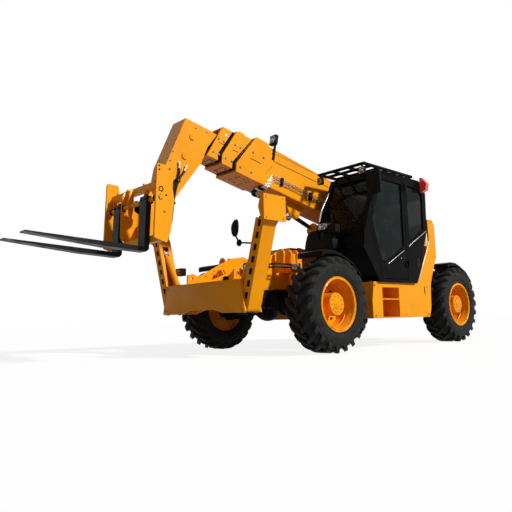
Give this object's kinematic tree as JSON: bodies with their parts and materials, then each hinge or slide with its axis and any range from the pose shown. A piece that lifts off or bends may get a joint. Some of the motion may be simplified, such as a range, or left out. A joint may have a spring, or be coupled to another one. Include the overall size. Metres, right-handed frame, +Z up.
{
  "type": "telescopic handler",
  "caption": "Telescopic handler: multi-section boom with gooseneck and fork carriage, swing-down front stabilisers, side cab, engine pod and steered wheels.",
  "frame": {"origin": "on the floor, under the middle of the machine's bounding box", "axes": "+X is forward, +Y is to the machine's left (the cab's side), +Z is up"},
  "size_m": [7.481, 2.792, 2.968],
  "materials": {
    "axle_paint": "satin",
    "body_paint": "semi-gloss",
    "cab_paint": "semi-gloss",
    "dash_plastic": "grained",
    "engine_iron": "rough",
    "fork_paint": "satin",
    "guard_paint": "satin",
    "lamp_plastic": "clear tinted",
    "pipe_steel": "satin",
    "ram_paint": "semi-gloss",
    "rod_chrome": "polished",
    "seat_fabric": "woven",
    "trim_plastic": "grained",
    "tyre_rubber": "matt",
    "wheel_paint": "semi-gloss",
    "window_glass": "clear"
  },
  "bodies": {
    "chassis": {"spine_plates": "body_paint", "nose_plates": "body_paint", "cross_members": "body_paint", "levelling_rams": "body_paint", "stabiliser_frame": "body_paint", "counterweight": "body_paint", "left_side_box": "body_paint", "rear_panel": "body_paint", "front_axle": "axle_paint", "rear_axle": "axle_paint", "cab_left_side": "cab_paint", "cab_right_side": "cab_paint", "cab_shell": "cab_paint", "cab_glass": "window_glass", "cab_seat": "seat_fabric", "cab_console": "dash_plastic", "roof_guard": "cab_paint", "engine_pod": "body_paint", "engine_block": "engine_iron", "mirrors": "trim_plastic", "rear_lamps": "lamp_plastic", "front_lamps": "trim_plastic"},
    "door": {"door_frame": "cab_paint", "door_glass": "window_glass"},
    "engine_lid": {"engine_lid": "body_paint"},
    "boom": {"boom_outer": "body_paint", "boom_pipes": "pipe_steel", "boom_lamp": "trim_plastic"},
    "stage_2": {"boom_stage_2": "body_paint"},
    "stage_3": {"boom_stage_3": "body_paint"},
    "neck": {"boom_stage_4": "body_paint", "gooseneck": "body_paint"},
    "carriage": {"carriage_frame": "body_paint", "forks": "fork_paint"},
    "lift_barrel": {"lift_barrel": "ram_paint"},
    "lift_rod": {"lift_rod": "rod_chrome"},
    "leg_left": {"leg_left": "body_paint"},
    "leg_barrel_left": {"leg_barrel_left": "ram_paint"},
    "leg_rod_left": {"leg_rod_left": "rod_chrome"},
    "knuckle_front_left": {"knuckle_front_left": "guard_paint"},
    "wheel_front_left": {"tyre_front_left": "tyre_rubber", "rim_front_left": "wheel_paint"},
    "knuckle_rear_left": {"knuckle_rear_left": "guard_paint"},
    "wheel_rear_left": {"tyre_rear_left": "tyre_rubber", "rim_rear_left": "wheel_paint"},
    "leg_right": {"leg_right": "body_paint"},
    "leg_barrel_right": {"leg_barrel_right": "ram_paint"},
    "leg_rod_right": {"leg_rod_right": "rod_chrome"},
    "knuckle_front_right": {"knuckle_front_right": "guard_paint"},
    "wheel_front_right": {"tyre_front_right": "tyre_rubber", "rim_front_right": "wheel_paint"},
    "knuckle_rear_right": {"knuckle_rear_right": "guard_paint"},
    "wheel_rear_right": {"tyre_rear_right": "tyre_rubber", "rim_rear_right": "wheel_paint"}
  },
  "joints": [
    {"name": "boom_lift", "type": "hinge", "parent": "chassis", "child": "boom", "pos_m": [-3.28045, 0, 1.88], "axis": [0, -1, 0], "range_deg": [-11, 53]},
    {"name": "stage_2_slide", "type": "slide", "parent": "boom", "child": "stage_2", "axis": [0.9781, 0, 0.2079], "range_m": [0, 3.5]},
    {"name": "stage_3_slide", "type": "slide", "parent": "stage_2", "child": "stage_3", "axis": [0.9781, 0, 0.2079], "range_m": [0, 3.5]},
    {"name": "neck_slide", "type": "slide", "parent": "stage_3", "child": "neck", "axis": [0.9781, 0, 0.2079], "range_m": [0, 3.5]},
    {"name": "carriage_tilt", "type": "hinge", "parent": "neck", "child": "carriage", "pos_m": [2.21955, 0, 1.48], "axis": [0, -1, 0], "range_deg": [-80, 22]},
    {"name": "lift_barrel_hinge", "type": "hinge", "parent": "chassis", "child": "lift_barrel", "pos_m": [-2.93045, 0, 0.9], "axis": [0, -1, 0], "range_deg": [-12, 48]},
    {"name": "lift_rod_slide", "type": "slide", "parent": "lift_barrel", "child": "lift_rod", "axis": [0.9387, 0, 0.3448], "range_m": [-0.2, 0.92]},
    {"name": "door_hinge", "type": "hinge", "parent": "chassis", "child": "door", "pos_m": [-1.26445, 1.204, 0], "axis": [0, 0, 1], "range_deg": [0, 95]},
    {"name": "engine_lid_hinge", "type": "hinge", "parent": "chassis", "child": "engine_lid", "pos_m": [-2.78045, -0.3, 1.49], "axis": [-1, 0, 0], "range_deg": [0, 70]},
    {"name": "leg_left_hinge", "type": "hinge", "parent": "chassis", "child": "leg_left", "pos_m": [-2.78045, 0.76, 0.567], "axis": [-1, 0, 0], "range_deg": [0, 97]},
    {"name": "leg_barrel_left_hinge", "type": "hinge", "parent": "chassis", "child": "leg_barrel_left", "pos_m": [-2.78045, 0.6, 0.78], "axis": [-1, 0, 0], "range_deg": [0, 90]},
    {"name": "leg_rod_left_slide", "type": "slide", "parent": "leg_barrel_left", "child": "leg_rod_left", "axis": [0, 0.5212, 0.8534], "range_m": [0, 0.41]},
    {"name": "leg_right_hinge", "type": "hinge", "parent": "chassis", "child": "leg_right", "pos_m": [-2.78045, -0.76, 0.567], "axis": [1, 0, 0], "range_deg": [0, 97]},
    {"name": "leg_barrel_right_hinge", "type": "hinge", "parent": "chassis", "child": "leg_barrel_right", "pos_m": [-2.78045, -0.6, 0.78], "axis": [1, 0, 0], "range_deg": [0, 90]},
    {"name": "leg_rod_right_slide", "type": "slide", "parent": "leg_barrel_right", "child": "leg_rod_right", "axis": [0, -0.5212, 0.8534], "range_m": [0, 0.41]},
    {"name": "steer_front_left", "type": "hinge", "parent": "chassis", "child": "knuckle_front_left", "pos_m": [0.36755, 0.8, 0.582], "axis": [0, 0, 1], "range_deg": [-25, 25]},
    {"name": "spin_front_left", "type": "hinge", "parent": "knuckle_front_left", "child": "wheel_front_left", "pos_m": [0.36755, 1.052, 0.582], "axis": [0, 1, 0], "continuous": true},
    {"name": "steer_front_right", "type": "hinge", "parent": "chassis", "child": "knuckle_front_right", "pos_m": [0.36755, -0.8, 0.582], "axis": [0, 0, 1], "range_deg": [-25, 25]},
    {"name": "spin_front_right", "type": "hinge", "parent": "knuckle_front_right", "child": "wheel_front_right", "pos_m": [0.36755, -1.052, 0.582], "axis": [0, 1, 0], "continuous": true},
    {"name": "steer_rear_left", "type": "hinge", "parent": "chassis", "child": "knuckle_rear_left", "pos_m": [-2.64045, 0.8, 0.582], "axis": [0, 0, 1], "range_deg": [-25, 25]},
    {"name": "spin_rear_left", "type": "hinge", "parent": "knuckle_rear_left", "child": "wheel_rear_left", "pos_m": [-2.64045, 1.052, 0.582], "axis": [0, 1, 0], "continuous": true},
    {"name": "steer_rear_right", "type": "hinge", "parent": "chassis", "child": "knuckle_rear_right", "pos_m": [-2.64045, -0.8, 0.582], "axis": [0, 0, 1], "range_deg": [-25, 25]},
    {"name": "spin_rear_right", "type": "hinge", "parent": "knuckle_rear_right", "child": "wheel_rear_right", "pos_m": [-2.64045, -1.052, 0.582], "axis": [0, 1, 0], "continuous": true}
  ],
  "couplings": [
    {"joint": "stage_3_slide", "follows": "stage_2_slide", "ratio": 1},
    {"joint": "neck_slide", "follows": "stage_2_slide", "ratio": 1},
    {"joint": "lift_barrel_hinge", "follows": "boom_lift", "ratio": 0.89},
    {"joint": "lift_rod_slide", "follows": "boom_lift", "m_per_rad": 0.97403},
    {"joint": "leg_barrel_left_hinge", "follows": "leg_left_hinge", "ratio": 0.915},
    {"joint": "leg_rod_left_slide", "follows": "leg_left_hinge", "m_per_rad": 0.24064},
    {"joint": "leg_barrel_right_hinge", "follows": "leg_right_hinge", "ratio": 0.915},
    {"joint": "leg_rod_right_slide", "follows": "leg_right_hinge", "m_per_rad": 0.24064},
    {"joint": "steer_front_right", "follows": "steer_front_left", "ratio": 1},
    {"joint": "steer_rear_right", "follows": "steer_rear_left", "ratio": 1}
  ]
}
